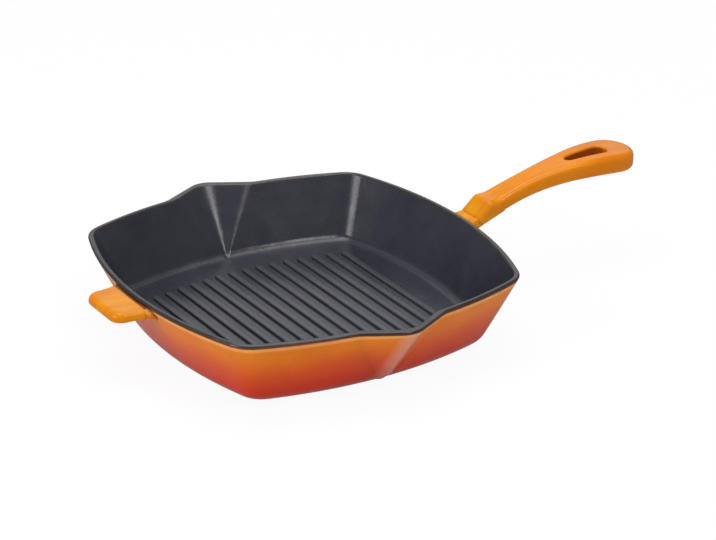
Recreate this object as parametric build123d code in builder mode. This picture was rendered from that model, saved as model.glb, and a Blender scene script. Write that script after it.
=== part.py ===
"""Square ribbed grill pan: one iron casting with its coats of enamel.

Millimetres, +Z up. The origin is the middle of the plane the pan stands on. The
long handle points along +X, the short helper handle along -X, and the two
pouring spouts point along +Y and -Y.

The casting and the finished, enamelled surface are the same forms at two
depths: depth 0 is the finished surface, and depth enamel_thickness is the
iron under it. Each coat is what lies between the two.
"""

import os
from math import cos, degrees, pi, radians, sin, sqrt, tan
from typing import NamedTuple

from build123d import *

os.makedirs("parts", exist_ok=True)

# Vessel, measured on the finished surface
half_width = 130.0  # from the centre to the middle of a side, at the rim
pan_height = 54.0
side_radius = 274.0  # bow of each side at the rim
base_side_radius = 283.0
corner_radius = 23.0
base_corner_radius = 15.5
wall_draft = radians(27.3)
wall_thickness = 4.0
floor_thickness = 5.5
base_curve_radius = 17.5  # outside, from the wall to the underside
floor_curve_radius = 7.0  # inside, from the wall to the floor
rim_rounding = 1.5
rim_turn = radians(80)  # how far the rim's round edges turn before its flat top

# Shallow hollow under the floor, inside the flat ring that the pan stands on
base_ring_width = 11.0
base_recess_depth = 5.3
base_recess_draft = radians(25)
base_recess_rounding = 3.0

# Pouring spouts, outside. Their lines run together a little under the table.
spout_reach = 16.5
spout_half_width = 35.0
spout_nose_radius = 17.0
spout_blend_radius = 18.0
spout_toe_drop = 2.8

# Channels inside the spouts. Their lines run together a little under the floor.
channel_reach = 15.0
channel_half_width = 29.0
channel_nose_radius = 20.0
channel_blend_radius = 16.0
channel_toe_drop = 2.5

# Ribs
rib_count = 15
rib_pitch = 10.8
rib_foot_width = 5.6
rib_height = 1.7
rib_draft = radians(9)
rib_rounding = 1.2
rib_field_margin = 19.5  # from the end of a rib to the floor's curve

# Long handle: a bar that arches up from the neck and ends in a hanging loop.
# Lengths along it start at its root, and rises are above the rim.
grip_gap = 6.0  # from the rim to the grip's root
grip_length = 137.5
grip_arch_radius = 258.0
grip_top_crest_length = 109.0
grip_top_crest_rise = 25.7
grip_under_crest_length = 103.5
grip_under_crest_rise = 11.8
grip_root_width = 23.0
grip_waist_width = 20.5
grip_waist_length = 46.0
grip_loop_width = 37.0
grip_rounding = 4.6
thumb_stop_rise = 9.2
thumb_stop_slope = radians(42)
thumb_stop_ramp_length = 11.0
thumb_stop_length = 21.0
thumb_stop_blend_radius = 18.0
loop_hole_width = 12.0
loop_hole_narrow_width = 7.0
loop_hole_length = 34.0
loop_hole_margin = 21.5  # metal between the hole and the end of the handle
loop_hole_rounding = 2.2

# Neck under the grip, spreading to a broad root on the wall
neck_inset = 14.0  # from the rim to the neck's root inside the wall
neck_root_drop = 6.4  # from the rim down to the root's top
neck_root_height = 11.6
neck_width = 20.5
neck_overlap = 24.0  # how far it runs under the grip
neck_flare_length = 26.0
neck_flare_radius = 26.5
neck_rounding = 2.5

# Helper handle
helper_length = 22.5  # from the rim
helper_drop = 2.3  # from the rim down to its top
helper_thickness = 6.9
helper_end_half_width = 22.5
helper_corner_radius = 9.0
helper_flare_length = 30.0
helper_flare_radius = 40.0
helper_top_rounding = 4.4
helper_under_rounding = 2.0

# Enamel and construction
enamel_thickness = 0.4
rim_band_height = 1.2
seam_margin = 1.0  # the handle coats start this far outside the rim
overrun = 10.0  # how far cutters pass through what they cut
profile_steps = 6
wall_steps = 3
rim_steps = 4

# Places that follow from the sizes
floor_top = base_recess_depth + floor_thickness
rim_foot = pan_height - rim_band_height
grip_start = half_width + grip_gap
grip_end = grip_start + grip_length
grip_top_crest_place = grip_start + grip_top_crest_length
grip_top_crest_height = pan_height + grip_top_crest_rise
grip_under_crest_place = grip_start + grip_under_crest_length
grip_under_crest_height = pan_height + grip_under_crest_rise
neck_start = half_width - neck_inset
neck_end = grip_start + neck_overlap
helper_top = pan_height - helper_drop


def bowed_square(half, side, corner):
    """A square with bowed sides and round corners."""
    offset_to_centre = side - half
    with BuildSketch(Plane.XY) as square:
        with Locations((-offset_to_centre, 0)):
            Circle(side)
        for centre in ((offset_to_centre, 0), (0, offset_to_centre), (0, -offset_to_centre)):
            with Locations(centre):
                Circle(side, mode=Mode.INTERSECT)
        fillet(square.vertices(), corner)
    return square.sketch


class Spout(NamedTuple):
    """A spout's surface: its sizes at the rim, where it ends below, and its depth in the wall."""

    reach: float
    half_width: float
    nose_radius: float
    blend_radius: float
    toe_height: float
    depth: float


spout = Spout(
    spout_reach,
    spout_half_width,
    spout_nose_radius,
    spout_blend_radius,
    -spout_toe_drop,
    0,
)
channel = Spout(
    channel_reach,
    channel_half_width,
    channel_nose_radius,
    channel_blend_radius,
    floor_top - channel_toe_drop,
    wall_thickness,
)


def pan_outline(height, half, depth, lip):
    """The vessel's outline at one height: the bowed square with a spout on two sides."""
    up_share = height / pan_height
    side = base_side_radius + (side_radius - base_side_radius) * up_share - depth
    corner = base_corner_radius + (corner_radius - base_corner_radius) * up_share - depth
    lip_share = (height - lip.toe_height) / (pan_height - lip.toe_height)
    foot_x = lip.half_width * lip_share
    foot_y = sqrt(side**2 - foot_x**2) - (side - half)
    tip_y = half + lip.reach * lip_share
    with BuildSketch(Plane.XY.offset(height)) as outline:
        add(bowed_square(half, side, corner))
        for way in (1, -1):
            Polygon(
                (-foot_x, way * foot_y),
                (0, way * tip_y),
                (foot_x, way * foot_y),
                (0, 0),
                align=None,
            )
        feet = outline.vertices().sort_by(lambda point: abs(point.X))[2:6]
        fillet(feet, (lip.blend_radius + depth - lip.depth) * lip_share)
        tips = outline.vertices().sort_by(lambda point: abs(point.X))[0:2]
        fillet(tips, (lip.nose_radius - depth + lip.depth) * lip_share)
    return outline.sketch


def wall_half(height, half_at_rim):
    """Half width of a drafted wall at one height."""
    return half_at_rim - (pan_height - height) * tan(wall_draft)


def flat_half(curve_radius, curve_bottom, half_at_rim):
    """Half width of the flat that a wall's round curve runs into."""
    wall_foot = curve_bottom + curve_radius * (1 - sin(wall_draft))
    return wall_half(wall_foot, half_at_rim) - curve_radius * cos(wall_draft)


def flared_form(curve_radius, curve_bottom, half_at_rim, top, depth, lip):
    """A solid under a drafted wall, with a round curve from wall to bottom."""
    curve_centre = curve_bottom + curve_radius
    wall_foot = curve_centre - curve_radius * sin(wall_draft)
    centre_half = flat_half(curve_radius, curve_bottom, half_at_rim)
    curve_levels = []
    for step in range(profile_steps + 1):
        angle = (pi / 2 - wall_draft) * step / profile_steps
        height = curve_centre - curve_radius * cos(angle)
        half = centre_half + curve_radius * sin(angle)
        curve_levels.append(pan_outline(height, half, depth, lip))
    wall_levels = []
    for step in range(wall_steps + 1):
        height = wall_foot + (top - wall_foot) * step / wall_steps
        wall_levels.append(pan_outline(height, wall_half(height, half_at_rim), depth, lip))
    with BuildPart() as form:
        loft(curve_levels)
        loft(wall_levels, ruled=True)
    return form.part


def rim_slice(depth, inset, lip, way):
    """The slice in which the rim's edge is rounded, of the outside (way 1) or of the hollow (way -1)."""
    rounding = rim_rounding - depth
    half_at_rim = half_width - inset / cos(wall_draft)
    centre_height = pan_height - depth - rounding * sin(rim_turn)
    centre_half = wall_half(centre_height, half_at_rim) - way * rounding / cos(wall_draft)
    first_angle = -way * wall_draft
    levels = []
    for step in range(rim_steps + 1):
        angle = first_angle + (rim_turn - first_angle) * step / rim_steps
        height = centre_height + rounding * sin(angle)
        half = centre_half + way * rounding * cos(angle)
        shift = wall_half(height, half_at_rim) - half
        levels.append(pan_outline(height, half, inset + shift, lip))
    with BuildPart() as rim:
        loft(levels)
    return rim.part


def rim_slice_foot(depth, way):
    """Height at which the rim's round edge leaves the wall."""
    rounding = rim_rounding - depth
    return pan_height - depth - rounding * (sin(rim_turn) + way * sin(wall_draft))


def vessel_outside(depth):
    """Everything inside the vessel's outer surface, as if it were not hollow."""
    with BuildPart() as outside:
        add(
            flared_form(
                base_curve_radius - depth,
                depth,
                half_width - depth / cos(wall_draft),
                rim_slice_foot(depth, 1),
                depth,
                spout,
            )
        )
        add(rim_slice(depth, depth, spout, 1))
    return outside.part


def hollow(depth, top):
    """The hollow above the floor up to a height, without the ribs."""
    inset = wall_thickness - depth
    return flared_form(
        floor_curve_radius + depth,
        floor_top - depth,
        half_width - inset / cos(wall_draft),
        top,
        inset,
        channel,
    )


def vessel_inside(depth):
    """The hollow with the rim's rounded inner edge, open to above the rim."""
    with BuildPart() as inside:
        add(hollow(depth, rim_slice_foot(depth, -1)))
        add(rim_slice(depth, wall_thickness - depth, channel, -1))
        extrude(inside.faces().sort_by(Axis.Z)[-1], amount=overrun)
    return inside.part


def base_recess(depth):
    """The hollow under the floor."""
    ring_half = flat_half(base_curve_radius, 0, half_width) - base_ring_width + depth
    mouth = bowed_square(ring_half, base_side_radius, base_corner_radius)
    with BuildPart() as recess:
        extrude(mouth, amount=-overrun)
        extrude(mouth, amount=base_recess_depth + depth, taper=degrees(base_recess_draft))
        fillet(recess.faces().sort_by(Axis.Z)[-1].edges(), base_recess_rounding + depth)
    return recess.part


def rib_field(depth):
    """All the ribs, spout to spout, ending on a line that follows the bowed sides."""
    inner_half = half_width - wall_thickness / cos(wall_draft)
    field_half = flat_half(floor_curve_radius, floor_top, inner_half) - rib_field_margin
    field_radius = base_side_radius - wall_thickness
    with BuildPart() as ribs:
        for rib in range(rib_count):
            place = (rib - (rib_count - 1) / 2) * rib_pitch
            reach = sqrt(field_radius**2 - place**2) - (field_radius - field_half)
            with BuildSketch(Plane.XY.offset(floor_top - depth)):
                with Locations((place, 0)):
                    SlotOverall(2 * (reach - depth), rib_foot_width - 2 * depth, rotation=90)
            extrude(amount=rib_height, taper=degrees(rib_draft))
        fillet(ribs.faces().group_by(Axis.Z)[-1].edges(), rib_rounding - depth)
    return ribs.part


def grip_plan(depth):
    """The grip seen from above: a waisted bar with a round end."""
    start = grip_start + depth
    root_half = grip_root_width / 2 - depth
    waist_place = grip_start + grip_waist_length
    waist_half = grip_waist_width / 2 - depth
    loop_radius = grip_loop_width / 2 - depth
    loop_centre = grip_end - grip_loop_width / 2
    shoulder = (waist_place + loop_centre) / 2
    shoulder_half = (waist_half + loop_radius) / 2
    with BuildSketch(Plane.XY) as plan:
        with BuildLine():
            Line((start, 0), (start, root_half))
            Spline(
                (start, root_half),
                (waist_place, waist_half),
                (shoulder, shoulder_half),
                (loop_centre, loop_radius),
                tangents=((1, 0), (1, 0)),
            )
            RadiusArc((loop_centre, loop_radius), (loop_centre + loop_radius, 0), loop_radius)
            mirror(about=Plane.XZ)
        make_face()
    return plan.sketch


def arch_height(place, crest_place, crest_height):
    """Height of one of the grip's two arcs above a place along X."""
    centre = crest_height - grip_arch_radius
    return centre + sqrt(grip_arch_radius**2 - (place - crest_place) ** 2)


def grip_side(depth):
    """The grip seen from the side: an arched band with a thumb stop at its start."""
    top_centre = grip_top_crest_height - grip_arch_radius
    under_centre = grip_under_crest_height - grip_arch_radius
    start = grip_start + depth
    stop_end = grip_start + thumb_stop_length
    stop_top = pan_height + thumb_stop_rise - depth
    stop_start = grip_start + thumb_stop_ramp_length + depth * tan(thumb_stop_slope / 2)
    stop_foot = stop_top - (stop_start - start) * tan(thumb_stop_slope)
    stop_bottom = arch_height(start, grip_top_crest_place, grip_top_crest_height) - depth
    with BuildSketch(Plane.XZ) as side:
        with Locations((grip_top_crest_place, top_centre)):
            Circle(grip_arch_radius - depth)
        with Locations((grip_under_crest_place, under_centre)):
            Circle(grip_arch_radius + depth, mode=Mode.SUBTRACT)
        with Locations((start, 0)):
            Rectangle(
                grip_length + overrun,
                grip_arch_radius,
                align=(Align.MIN, Align.MIN),
                mode=Mode.INTERSECT,
            )
        with Locations((start, stop_bottom)):
            Rectangle(
                stop_end - start,
                stop_top - stop_bottom,
                align=(Align.MIN, Align.MIN),
            )
        Polygon(
            (start, stop_foot),
            (stop_start, stop_top),
            (start, stop_top),
            align=None,
            mode=Mode.SUBTRACT,
        )
        crease = side.vertices().sort_by_distance((stop_end, stop_top))[0]
        fillet(crease, thumb_stop_blend_radius)
    return side.sketch


def loop_hole(depth):
    """The hanging hole seen from above: a long drop, narrow towards the pan."""
    wide_radius = loop_hole_width / 2 + depth
    narrow_radius = loop_hole_narrow_width / 2 + depth
    wide_place = grip_end - loop_hole_margin - loop_hole_width / 2
    narrow_place = grip_end - loop_hole_margin - loop_hole_length + loop_hole_narrow_width / 2
    with BuildSketch(Plane.XY) as hole:
        with Locations((wide_place, 0)):
            Circle(wide_radius)
        with Locations((narrow_place, 0)):
            Circle(narrow_radius)
        make_hull()
    return hole.sketch


def grip_bar(depth):
    """The grip with its hanging hole."""
    high = 2 * grip_top_crest_height
    with BuildPart() as bar:
        extrude(grip_side(depth), amount=grip_loop_width, both=True)
        extrude(grip_plan(depth), amount=high, mode=Mode.INTERSECT)
        fillet(bar.edges(), grip_rounding - depth)
        extrude(loop_hole(depth), amount=high, mode=Mode.SUBTRACT)
        fillet(bar.edges(Select.LAST), loop_hole_rounding - depth)
    return bar.part


def neck_side(depth):
    """The neck seen from the side: a wedge that rises from the wall into the grip."""
    root_top = pan_height - neck_root_drop
    grip_top = arch_height(neck_end, grip_top_crest_place, grip_top_crest_height)
    grip_underside = arch_height(neck_end, grip_under_crest_place, grip_under_crest_height)
    with BuildSketch(Plane.XZ) as side:
        Polygon(
            (neck_start, root_top - depth),
            (neck_end, (grip_top + grip_underside) / 2 - depth),
            (neck_end, grip_underside + depth),
            (neck_start, root_top - neck_root_height + depth),
            align=None,
        )
    return side.sketch


def neck_plan(depth):
    """The neck seen from above: it spreads where it meets the wall."""
    flare_end = neck_start + neck_flare_length
    neck_half = neck_width / 2 - depth
    flare_radius = neck_flare_radius + depth
    flare_half = neck_half + flare_radius - sqrt(flare_radius**2 - neck_flare_length**2)
    with BuildSketch(Plane.XY) as plan:
        with BuildLine():
            Line((neck_start, 0), (neck_start, flare_half))
            RadiusArc((neck_start, flare_half), (flare_end, neck_half), -flare_radius)
            Line((flare_end, neck_half), (neck_end, neck_half))
            Line((neck_end, neck_half), (neck_end, 0))
            mirror(about=Plane.XZ)
        make_face()
    return plan.sketch


def neck(depth):
    """The broad neck that carries the grip, from inside the wall to under the grip."""
    with BuildPart() as root:
        extrude(neck_side(depth), amount=grip_loop_width, both=True)
        extrude(neck_plan(depth), amount=2 * grip_top_crest_height, mode=Mode.INTERSECT)
        sides = root.edges().filter_by(Axis.Y, reverse=True).filter_by(Axis.Z, reverse=True)
        fillet(sides, neck_rounding - depth)
    return root.part


def helper_tab(depth):
    """The short flat handle opposite the grip, spreading towards the wall."""
    helper_end = half_width + helper_length
    flare_end = helper_end - helper_corner_radius
    flare_start = flare_end - helper_flare_length
    flare_radius = helper_flare_radius + depth
    corner_radius_here = helper_corner_radius - depth
    end_half = helper_end_half_width - depth
    end_place = helper_end - depth
    flare_half = end_half + flare_radius - sqrt(flare_radius**2 - helper_flare_length**2)
    with BuildSketch(Plane.XY.offset(helper_top - depth)) as plan:
        with BuildLine():
            Line((-flare_start, 0), (-flare_start, flare_half))
            RadiusArc((-flare_start, flare_half), (-flare_end, end_half), flare_radius)
            RadiusArc((-flare_end, end_half), (-end_place, end_half - corner_radius_here), -corner_radius_here)
            Line((-end_place, end_half - corner_radius_here), (-end_place, 0))
            mirror(about=Plane.XZ)
        make_face()
    with BuildPart() as tab:
        extrude(plan.sketch, amount=-(helper_thickness - 2 * depth))
        top_edges = tab.faces().sort_by(Axis.Z)[-1].edges().sort_by(Axis.X)
        fillet(top_edges[:-2], helper_top_rounding - depth)
        under_edges = tab.faces().sort_by(Axis.Z)[0].edges().sort_by(Axis.X)
        fillet(under_edges[:-2], helper_under_rounding - depth)
    return tab.part


def handles(depth):
    """Grip, neck and helper handle, each ending in the middle of the vessel's wall."""
    with BuildPart() as pair:
        add(grip_bar(depth))
        add(neck(depth))
        add(helper_tab(depth))
        add(hollow(wall_thickness / 2, pan_height + overrun), mode=Mode.SUBTRACT)
    return pair.part


def vessel(depth):
    """The bare vessel with its rounded rim."""
    with BuildPart() as bowl:
        add(vessel_outside(depth))
        add(vessel_inside(depth), mode=Mode.SUBTRACT)
        add(base_recess(depth), mode=Mode.SUBTRACT)
    return bowl.part


def whole_pan(depth):
    """Vessel, ribs and both handles as one piece, at one depth under the finished surface."""
    with BuildPart() as pan:
        add(vessel(depth))
        add(handles(depth))
        add(rib_field(depth))
    return pan.part


finished_pan = whole_pan(0)

with BuildPart() as iron_casting:
    add(whole_pan(enamel_thickness))

with BuildPart() as enamel:
    add(finished_pan)
    add(iron_casting.part, mode=Mode.SUBTRACT)

# The dark band over the rim, from its outer edge to its inner edge
rim_level = Plane.XY.offset(rim_foot)
with BuildSketch(rim_level) as rim_area:
    Rectangle(2 * half_width, 2 * (half_width + spout_reach))

with BuildPart() as rim_enamel:
    add(enamel.part)
    extrude(rim_area.sketch, amount=overrun, mode=Mode.INTERSECT)

# Below the band the enamel is two separate skins, one inside and one outside
with BuildPart() as skins:
    add(enamel.part)
    extrude(rim_area.sketch, amount=overrun, mode=Mode.SUBTRACT)
inner_skin, outer_skin = skins.solids().sort_by(lambda skin: skin.bounding_box().max.X)

with BuildPart() as interior_enamel:
    add(inner_skin)

# The underside's coat covers the recess and the standing ring up to a seam
underside_half = flat_half(base_curve_radius, 0, half_width) - seam_margin
underside_area = bowed_square(underside_half, base_side_radius, base_corner_radius)
with BuildPart() as base_enamel:
    add(outer_skin)
    extrude(underside_area, amount=floor_top, both=True, mode=Mode.INTERSECT)

# The handles' coats start just outside the rim
handle_seam = half_width + seam_margin
with BuildPart() as long_handle_enamel:
    add(outer_skin)
    split(bisect_by=Plane.YZ.offset(handle_seam), keep=Keep.TOP)

with BuildPart() as helper_handle_enamel:
    add(outer_skin)
    split(bisect_by=Plane.YZ.offset(-handle_seam), keep=Keep.BOTTOM)

with BuildPart() as wall_enamel:
    add(outer_skin)
    extrude(underside_area, amount=floor_top, both=True, mode=Mode.SUBTRACT)
    split(bisect_by=Plane.YZ.offset(handle_seam), keep=Keep.BOTTOM)
    split(bisect_by=Plane.YZ.offset(-handle_seam), keep=Keep.TOP)

iron_casting.part.label = "iron_casting"
rim_enamel.part.label = "rim_enamel"
interior_enamel.part.label = "interior_enamel"
wall_enamel.part.label = "wall_enamel"
base_enamel.part.label = "base_enamel"
long_handle_enamel.part.label = "long_handle_enamel"
helper_handle_enamel.part.label = "helper_handle_enamel"

export_step(iron_casting.part, "parts/iron_casting.step")
export_step(rim_enamel.part, "parts/rim_enamel.step")
export_step(interior_enamel.part, "parts/interior_enamel.step")
export_step(wall_enamel.part, "parts/wall_enamel.step")
export_step(base_enamel.part, "parts/base_enamel.step")
export_step(long_handle_enamel.part, "parts/long_handle_enamel.step")
export_step(helper_handle_enamel.part, "parts/helper_handle_enamel.step")
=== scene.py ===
"""Enamelled cast-iron grill pan: materials, light and camera around the CAD frame.

Metres, +Z up. The long handle points along +X, the helper handle along -X, and
the two pouring spouts along +Y and -Y.
"""

from math import cos, radians, sin

import bpy
from mathutils import Matrix, Vector

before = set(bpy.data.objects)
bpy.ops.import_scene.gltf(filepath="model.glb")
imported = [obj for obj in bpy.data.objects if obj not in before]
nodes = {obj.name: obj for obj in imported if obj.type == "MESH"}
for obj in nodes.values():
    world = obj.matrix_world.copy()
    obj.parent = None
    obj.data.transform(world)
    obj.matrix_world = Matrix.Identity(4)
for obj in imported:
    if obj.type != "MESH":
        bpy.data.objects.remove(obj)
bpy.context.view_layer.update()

# Heights that the colours follow
PAN_HEIGHT = 0.054
SHOULDER_TOP = 0.0516

# The hanging hole's ends along +X and its half width
HOLE_START = 0.218
HOLE_END = 0.252
HOLE_HALF_WIDTH = 0.0060
HOLE_BLUR = 0.0005

# Floor and world
FLOOR_HALF = 3.0
FLOOR_DROP = 0.0002
FLOOR_WHITE = 0.94
FLOOR_IN_GLOSS = 0.30
WORLD_STRENGTH = 0.30
RIB_TOP = 0.0125


class Paint:
    """A node material with short ways to add the textures the coats share."""

    def __init__(self, name):
        self.material = bpy.data.materials.new(name)
        self.material.use_nodes = True
        self.tree = self.material.node_tree
        self.tree.nodes.clear()
        self.output = self.add("ShaderNodeOutputMaterial")
        self.shader = self.add("ShaderNodeBsdfPrincipled")
        self.link(self.shader.outputs[0], self.output.inputs[0])
        place = self.add("ShaderNodeTexCoord")
        self.place = place.outputs["Object"]
        split = self.add("ShaderNodeSeparateXYZ")
        self.link(self.place, split.inputs[0])
        self.x, self.y, self.z = split.outputs

    def add(self, kind):
        return self.tree.nodes.new(kind)

    def link(self, source, target):
        self.tree.links.new(source, target)

    def set(self, **values):
        """Constant values on the shader's own sockets."""
        for name, value in values.items():
            self.shader.inputs[name.replace("_", " ")].default_value = value

    def feed(self, socket, source):
        self.link(source, self.shader.inputs[socket])

    def noise(self, size, detail=3.0, roughness=0.5, stretch=(1, 1, 1)):
        """Noise with features of that size in metres, 0 to 1 around 0.5."""
        mapping = self.add("ShaderNodeMapping")
        mapping.inputs["Scale"].default_value = stretch
        self.link(self.place, mapping.inputs["Vector"])
        node = self.add("ShaderNodeTexNoise")
        node.inputs["Scale"].default_value = 1 / size
        node.inputs["Detail"].default_value = detail
        node.inputs["Roughness"].default_value = roughness
        self.link(mapping.outputs[0], node.inputs["Vector"])
        return node.outputs["Fac"]

    def cells(self, size):
        """Distance to the nearest of scattered points, in cells of that size."""
        node = self.add("ShaderNodeTexVoronoi")
        node.inputs["Scale"].default_value = 1 / size
        self.link(self.place, node.inputs["Vector"])
        return node.outputs["Distance"]

    def math(self, operation, first, second=0.0, clamp=False):
        node = self.add("ShaderNodeMath")
        node.operation = operation
        node.use_clamp = clamp
        for socket, value in zip(node.inputs, (first, second)):
            if isinstance(value, (int, float)):
                socket.default_value = value
            else:
                self.link(value, socket)
        return node.outputs[0]

    def range(self, source, low, high, to_low=0.0, to_high=1.0, smooth=False):
        node = self.add("ShaderNodeMapRange")
        node.interpolation_type = "SMOOTHSTEP" if smooth else "LINEAR"
        self.link(source, node.inputs["Value"])
        node.inputs["From Min"].default_value = low
        node.inputs["From Max"].default_value = high
        node.inputs["To Min"].default_value = to_low
        node.inputs["To Max"].default_value = to_high
        return node.outputs["Result"]

    def ramp(self, share, stops):
        """Colours along a share; stops are (position, (r, g, b))."""
        node = self.add("ShaderNodeValToRGB")
        self.link(share, node.inputs[0])
        elements = node.color_ramp.elements
        while len(elements) < len(stops):
            elements.new(0.5)
        for element, (position, color) in zip(elements, stops):
            element.position = position
            element.color = (*color, 1)
        return node.outputs[0]

    def mix(self, share, first, second, blend="MIX"):
        node = self.add("ShaderNodeMix")
        node.data_type = "RGBA"
        node.blend_type = blend
        ends = [node.inputs[6], node.inputs[7]]
        if isinstance(share, (int, float)):
            node.inputs[0].default_value = share
        else:
            self.link(share, node.inputs[0])
        for socket, value in zip(ends, (first, second)):
            if isinstance(value, tuple):
                socket.default_value = (*value, 1)
            else:
                self.link(value, socket)
        return node.outputs[2]

    def bump(self, layers, round_over=0.0):
        """Stacks layers of (height socket, depth in metres), over edges rounded by a radius."""
        normal = None
        if round_over:
            bevel = self.add("ShaderNodeBevel")
            bevel.samples = 8
            bevel.inputs["Radius"].default_value = round_over
            normal = bevel.outputs[0]
        for height, depth in layers:
            node = self.add("ShaderNodeBump")
            node.inputs["Strength"].default_value = 1.0
            node.inputs["Distance"].default_value = depth
            self.link(height, node.inputs["Height"])
            if normal is not None:
                self.link(normal, node.inputs["Normal"])
            normal = node.outputs[0]
        self.feed("Normal", normal)

    def upright(self):
        """Share of 1 on upright faces, 0 on level ones."""
        geometry = self.add("ShaderNodeNewGeometry")
        split = self.add("ShaderNodeSeparateXYZ")
        self.link(geometry.outputs["Normal"], split.inputs[0])
        level = self.math("ABSOLUTE", split.outputs[2])
        return self.range(level, 0.35, 0.85, 1.0, 0.0, smooth=True)

    def wear(self, radius=0.0012, low=0.03, high=0.35):
        """Share of 1 along sharp convex edges, 0 on flats."""
        bevel = self.add("ShaderNodeBevel")
        bevel.samples = 6
        bevel.inputs["Radius"].default_value = radius
        geometry = self.add("ShaderNodeNewGeometry")
        dot = self.add("ShaderNodeVectorMath")
        dot.operation = "DOT_PRODUCT"
        self.link(bevel.outputs[0], dot.inputs[0])
        self.link(geometry.outputs["Normal"], dot.inputs[1])
        bend = self.math("SUBTRACT", 1.0, dot.outputs["Value"])
        return self.range(bend, low, high, smooth=True)


def paint_glaze(paint, color, speckle_color, roughness=0.16, gloss=0.24, round_over=0.0):
    """Glossy fired enamel: sprayed speckle, faint mottling, orange peel and pits."""
    mottle = paint.noise(0.022, detail=4.0)
    color = paint.mix(paint.range(mottle, 0.35, 0.75, 0.0, 0.22), color, speckle_color)
    speckle = paint.noise(0.0011, detail=2.0, roughness=0.7)
    color = paint.mix(paint.range(speckle, 0.60, 0.74, 0.0, 0.35), color, speckle_color)
    peel = paint.noise(0.0042, detail=2.0)
    wave = paint.noise(0.016, detail=1.0)
    pits = paint.range(paint.cells(0.0065), 0.0, 0.06, 0.0, 1.0, smooth=True)
    paint.feed("Base Color", color)
    smear = paint.noise(0.030, detail=3.0)
    paint.feed("Roughness", paint.range(smear, 0.3, 0.7, roughness - 0.05, roughness + 0.10))
    paint.bump(((wave, 0.00030), (peel, 0.00007), (pits, 0.00003)), round_over)
    paint.set(**{"Specular IOR Level": gloss, "Coat Weight": gloss / 2, "Coat Roughness": 0.06})


def wall_paint():
    """Outside of the walls: orange at the rim, flame red towards the foot."""
    paint = Paint("flame_enamel_wall")
    cloud = paint.noise(0.060, detail=2.0)
    shift = paint.range(cloud, 0.25, 0.75, -0.004, 0.004)
    height = paint.math("ADD", paint.z, shift)
    share = paint.range(height, 0.0, PAN_HEIGHT)
    flame = paint.ramp(
        share,
        (
            (0.00, (0.660, 0.030, 0.008)),
            (0.22, (0.690, 0.042, 0.007)),
            (0.48, (0.740, 0.092, 0.005)),
            (0.72, (0.790, 0.185, 0.003)),
            (0.92, (0.800, 0.230, 0.003)),
        ),
    )
    # Paler bands on the spouts' noses and under the rim stand in for highlights seen there
    nose = paint.range(paint.math("ABSOLUTE", paint.x), 0.0020, 0.0100, 1.0, 0.0, smooth=True)
    flame = paint.mix(paint.math("MULTIPLY", nose, 0.55), flame, (0.80, 0.36, 0.26))
    shoulder_foot = paint.range(paint.z, SHOULDER_TOP - 0.0042, SHOULDER_TOP - 0.0018, smooth=True)
    shoulder_top = paint.range(paint.z, SHOULDER_TOP - 0.0008, SHOULDER_TOP, 1.0, 0.0, smooth=True)
    shoulder = paint.math("MULTIPLY", shoulder_foot, shoulder_top)
    flame = paint.mix(paint.math("MULTIPLY", shoulder, 0.75), flame, (0.95, 0.46, 0.14))
    under_rim = paint.range(paint.z, SHOULDER_TOP - 0.0004, SHOULDER_TOP + 0.0004, smooth=True)
    flame = paint.mix(paint.math("MULTIPLY", under_rim, 0.92), flame, (0.075, 0.026, 0.012))
    paint_glaze(paint, flame, (0.48, 0.060, 0.010), round_over=0.004)
    return paint.material


def base_paint():
    """Underside: the flame red's thicker coat, scuffed dull where it stands."""
    paint = Paint("flame_enamel_base")
    scuff = paint.noise(0.012, detail=6.0, roughness=0.7, stretch=(1, 3, 1))
    dulled = paint.range(scuff, 0.5, 0.72, 0.0, 0.5)
    color = paint.mix(dulled, (0.50, 0.040, 0.010), (0.20, 0.022, 0.010))
    paint_glaze(paint, color, (0.33, 0.030, 0.010), roughness=0.30)
    return paint.material


def handle_paint(name, seam_place):
    """Handles: orange, golden where they leave the wall, redder along edges, with painted shade in
    the hanging hole.
    """
    paint = Paint(name)
    reach = paint.math("ABSOLUTE", paint.x)
    share = paint.range(reach, seam_place, seam_place + 0.040, smooth=True)
    color = paint.mix(share, (0.760, 0.315, 0.004), (0.760, 0.246, 0.002))
    shade = paint.noise(0.034, detail=2.0, roughness=0.6, stretch=(0.5, 2, 1))
    color = paint.mix(paint.range(shade, 0.40, 0.64, 0.0, 0.70), color, (0.66, 0.155, 0.003))
    edge = paint.wear(radius=0.0024, low=0.01, high=0.16)
    color = paint.mix(paint.math("MULTIPLY", edge, 0.60), color, (0.50, 0.100, 0.003))
    # Painted shade: the hanging hole's inner wall is painted a darker red brown
    across = paint.math("ABSOLUTE", paint.y)
    hole_shade = paint.range(across, HOLE_HALF_WIDTH, HOLE_HALF_WIDTH + 0.0016, 1.0, 0.0)
    for place, before, after in ((HOLE_START, 0.0, 1.0), (HOLE_END, 1.0, 0.0)):
        inside = paint.range(paint.x, place - HOLE_BLUR, place + HOLE_BLUR, before, after)
        hole_shade = paint.math("MULTIPLY", hole_shade, inside)
    hole_shade = paint.math("MULTIPLY", hole_shade, paint.upright())
    color = paint.mix(paint.math("MULTIPLY", hole_shade, 0.85), color, (0.26, 0.040, 0.003))
    paint_glaze(paint, color, (0.60, 0.140, 0.004), roughness=0.20, gloss=0.15)
    return paint.material


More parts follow.
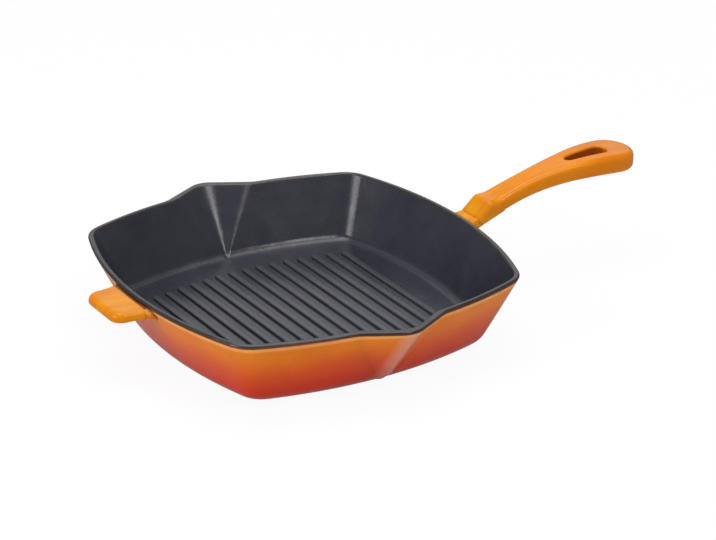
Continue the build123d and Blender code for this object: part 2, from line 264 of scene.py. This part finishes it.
def interior_paint():
    """Inside: satin black enamel with a fine grain, the rib tops a little greyer as a painted
    highlight.
    """
    paint = Paint("satin_black_enamel")
    mottle = paint.noise(0.030, detail=5.0, roughness=0.6)
    color = paint.mix(paint.range(mottle, 0.3, 0.7), (0.019, 0.019, 0.031), (0.031, 0.031, 0.045))
    grain = paint.noise(0.0007, detail=2.0, roughness=0.8)
    color = paint.mix(paint.range(grain, 0.55, 0.75, 0.0, 0.5), color, (0.060, 0.060, 0.068))
    # Painted highlight: the rib tops are painted a little greyer
    top = paint.range(paint.z, RIB_TOP - 0.0006, RIB_TOP, smooth=True)
    on_floor = paint.range(paint.z, RIB_TOP + 0.0003, RIB_TOP + 0.0006, 1.0, 0.0)
    rib_top_highlight = paint.math("MULTIPLY", top, on_floor)
    color = paint.mix(paint.math("MULTIPLY", rib_top_highlight, 0.30), color, (0.075, 0.075, 0.082))
    paint.feed("Base Color", color)
    smear = paint.noise(0.018, detail=3.0)
    paint.feed("Roughness", paint.range(smear, 0.3, 0.7, 0.22, 0.32))
    orange_peel = paint.noise(0.0026, detail=2.0)
    wave = paint.noise(0.014, detail=1.0)
    paint.bump(((wave, 0.00018), (orange_peel, 0.00005), (grain, 0.00002)))
    paint.set(**{"Specular IOR Level": 0.5})
    return paint.material


def rim_paint():
    """Rim: dark ground coat, semi-gloss, browner towards the outside edge."""
    paint = Paint("dark_rim_enamel")
    mottle = paint.noise(0.010, detail=4.0)
    color = paint.mix(paint.range(mottle, 0.3, 0.7), (0.013, 0.011, 0.011), (0.028, 0.022, 0.021))
    edge = paint.wear(radius=0.0010)
    color = paint.mix(paint.math("MULTIPLY", edge, 0.5), color, (0.070, 0.046, 0.038))
    speckle = paint.noise(0.0009, detail=2.0, roughness=0.8)
    color = paint.mix(paint.range(speckle, 0.58, 0.72, 0.0, 0.5), color, (0.085, 0.080, 0.082))
    paint.feed("Base Color", color)
    paint.feed("Roughness", paint.range(paint.noise(0.014), 0.3, 0.7, 0.26, 0.38))
    paint.bump(((paint.noise(0.009, detail=1.0), 0.00018), (speckle, 0.00002)))
    paint.set(**{"Specular IOR Level": 0.5, "Coat Weight": 0.2, "Coat Roughness": 0.2})
    return paint.material


def iron_paint():
    """The casting under the enamel: grey iron with its sand texture."""
    paint = Paint("grey_cast_iron")
    mottle = paint.noise(0.012, detail=6.0, roughness=0.65)
    color = paint.mix(paint.range(mottle, 0.3, 0.7), (0.060, 0.058, 0.056), (0.130, 0.126, 0.122))
    paint.feed("Base Color", color)
    paint.feed("Roughness", paint.range(mottle, 0.3, 0.7, 0.55, 0.75))
    paint.bump(((paint.noise(0.0009, detail=4.0, roughness=0.7), 0.00015),))
    paint.set(Metallic=1.0)
    return paint.material


def coat(name, material):
    """Gives a CAD node its material in every slot."""
    slots = nodes[name].material_slots
    if not slots:
        nodes[name].data.materials.append(material)
    for slot in nodes[name].material_slots:
        slot.material = material


coat("wall_enamel", wall_paint())
coat("base_enamel", base_paint())
coat("long_handle_enamel", handle_paint("orange_enamel_long_handle", 0.131))
coat("helper_handle_enamel", handle_paint("orange_enamel_helper_handle", 0.131))
coat("interior_enamel", interior_paint())
coat("rim_enamel", rim_paint())
coat("iron_casting", iron_paint())


# Floor and backdrop in one pale sweep
def sweep():
    """A pale floor that shows as white behind the pan and keeps its shadow."""
    half = FLOOR_HALF
    mesh = bpy.data.meshes.new("floor")
    corners = [(-half, -half, 0), (half, -half, 0), (half, half, 0), (-half, half, 0)]
    mesh.from_pydata(corners, [], [(0, 1, 2, 3)])
    floor = bpy.data.objects.new("floor", mesh)
    bpy.context.scene.collection.objects.link(floor)
    floor.location.z = -FLOOR_DROP
    material = bpy.data.materials.new("pale_floor")
    material.use_nodes = True
    tree = material.node_tree
    tree.nodes.clear()
    output = tree.nodes.new("ShaderNodeOutputMaterial")
    paper = tree.nodes.new("ShaderNodeBsdfDiffuse")
    paper.inputs["Color"].default_value = (0.88, 0.88, 0.88, 1)
    white = tree.nodes.new("ShaderNodeEmission")
    white.inputs["Color"].default_value = (1, 1, 1, 1)
    dim = tree.nodes.new("ShaderNodeEmission")
    dim.inputs["Color"].default_value = (FLOOR_IN_GLOSS, FLOOR_IN_GLOSS, FLOOR_IN_GLOSS, 1)
    path = tree.nodes.new("ShaderNodeLightPath")
    share = tree.nodes.new("ShaderNodeMath")
    share.operation = "MULTIPLY"
    share.inputs[1].default_value = FLOOR_WHITE
    seen = tree.nodes.new("ShaderNodeMixShader")
    mix = tree.nodes.new("ShaderNodeMixShader")
    tree.links.new(path.outputs["Is Camera Ray"], share.inputs[0])
    tree.links.new(share.outputs[0], seen.inputs[0])
    tree.links.new(paper.outputs[0], seen.inputs[1])
    tree.links.new(white.outputs[0], seen.inputs[2])
    tree.links.new(path.outputs["Is Glossy Ray"], mix.inputs[0])
    tree.links.new(seen.outputs[0], mix.inputs[1])
    tree.links.new(dim.outputs[0], mix.inputs[2])
    tree.links.new(mix.outputs[0], output.inputs[0])
    mesh.materials.append(material)


sweep()


def studio_world():
    """A soft pale surround, plain white to the camera."""
    world = bpy.data.worlds.new("studio")
    bpy.context.scene.world = world
    world.use_nodes = True
    tree = world.node_tree
    tree.nodes.clear()
    output = tree.nodes.new("ShaderNodeOutputWorld")
    light = tree.nodes.new("ShaderNodeBackground")
    light.inputs["Color"].default_value = (0.94, 0.97, 1.0, 1)
    light.inputs["Strength"].default_value = WORLD_STRENGTH
    white = tree.nodes.new("ShaderNodeBackground")
    white.inputs["Color"].default_value = (1, 1, 1, 1)
    white.inputs["Strength"].default_value = 1.0
    path = tree.nodes.new("ShaderNodeLightPath")
    mix = tree.nodes.new("ShaderNodeMixShader")
    tree.links.new(path.outputs["Is Camera Ray"], mix.inputs[0])
    tree.links.new(light.outputs[0], mix.inputs[1])
    tree.links.new(white.outputs[0], mix.inputs[2])
    tree.links.new(mix.outputs[0], output.inputs[0])


studio_world()


def softbox(name, place, target, size, power):
    """A square area lamp that faces a point."""
    data = bpy.data.lights.new(name, "AREA")
    data.shape = "RECTANGLE"
    data.size, data.size_y = size
    data.energy = power
    lamp = bpy.data.objects.new(name, data)
    bpy.context.scene.collection.objects.link(lamp)
    lamp.location = place
    direction = Vector(target) - Vector(place)
    lamp.rotation_euler = direction.to_track_quat("-Z", "Y").to_euler()


softbox("top_softbox", (0.0, 0.15, 1.6), (0, 0, 0), (1.5, 1.1), 17)
softbox("left_softbox", (-1.7, -0.05, 0.80), (0, 0, 0.03), (0.8, 0.7), 11)
softbox("right_softbox", (0.27, -1.07, 1.45), (0, 0, 0.03), (0.6, 0.6), 8)
softbox("back_softbox", (1.0, 1.72, 1.05), (0, 0, 0.03), (2.4, 1.0), 5.0)


# Camera, as fitted to the photograph's outline of the pan
CAMERA_AZIMUTH = radians(-30.67)
CAMERA_ELEVATION = radians(24.638)
CAMERA_DISTANCE = 1.94324
CAMERA_TARGET = Vector((0, 0, 0.025))
CAMERA_AIM_RIGHT = 0.038731
CAMERA_AIM_UP = 0.014939
CAMERA_ROLL = radians(0.569)
CAMERA_LENS = 143.72


def photo_camera():
    """Stands the camera where the photograph was taken from."""
    up = Vector((0, 0, 1))
    level = cos(CAMERA_ELEVATION)
    back = Vector(
        (sin(CAMERA_AZIMUTH) * level, -cos(CAMERA_AZIMUTH) * level, sin(CAMERA_ELEVATION))
    )
    place = CAMERA_TARGET + back * CAMERA_DISTANCE
    right = (-back).cross(up).normalized()
    above = right.cross(-back)
    aim = CAMERA_TARGET + right * CAMERA_AIM_RIGHT + above * CAMERA_AIM_UP
    ahead = (aim - place).normalized()
    right = ahead.cross(up).normalized()
    above = right.cross(ahead)
    turned_right = right * cos(CAMERA_ROLL) + above * sin(CAMERA_ROLL)
    turned_up = above * cos(CAMERA_ROLL) - right * sin(CAMERA_ROLL)
    data = bpy.data.cameras.new("camera")
    data.sensor_fit = "HORIZONTAL"
    data.sensor_width = 36
    data.lens = CAMERA_LENS
    data.clip_end = 20
    camera = bpy.data.objects.new("camera", data)
    bpy.context.scene.collection.objects.link(camera)
    turn = Matrix((turned_right, turned_up, -ahead)).transposed()
    camera.matrix_world = Matrix.Translation(place) @ turn.to_4x4()
    bpy.context.scene.camera = camera


photo_camera()
bpy.context.scene.view_settings.view_transform = "Standard"


def corners(box):
    return [list(corner) for corner in box]
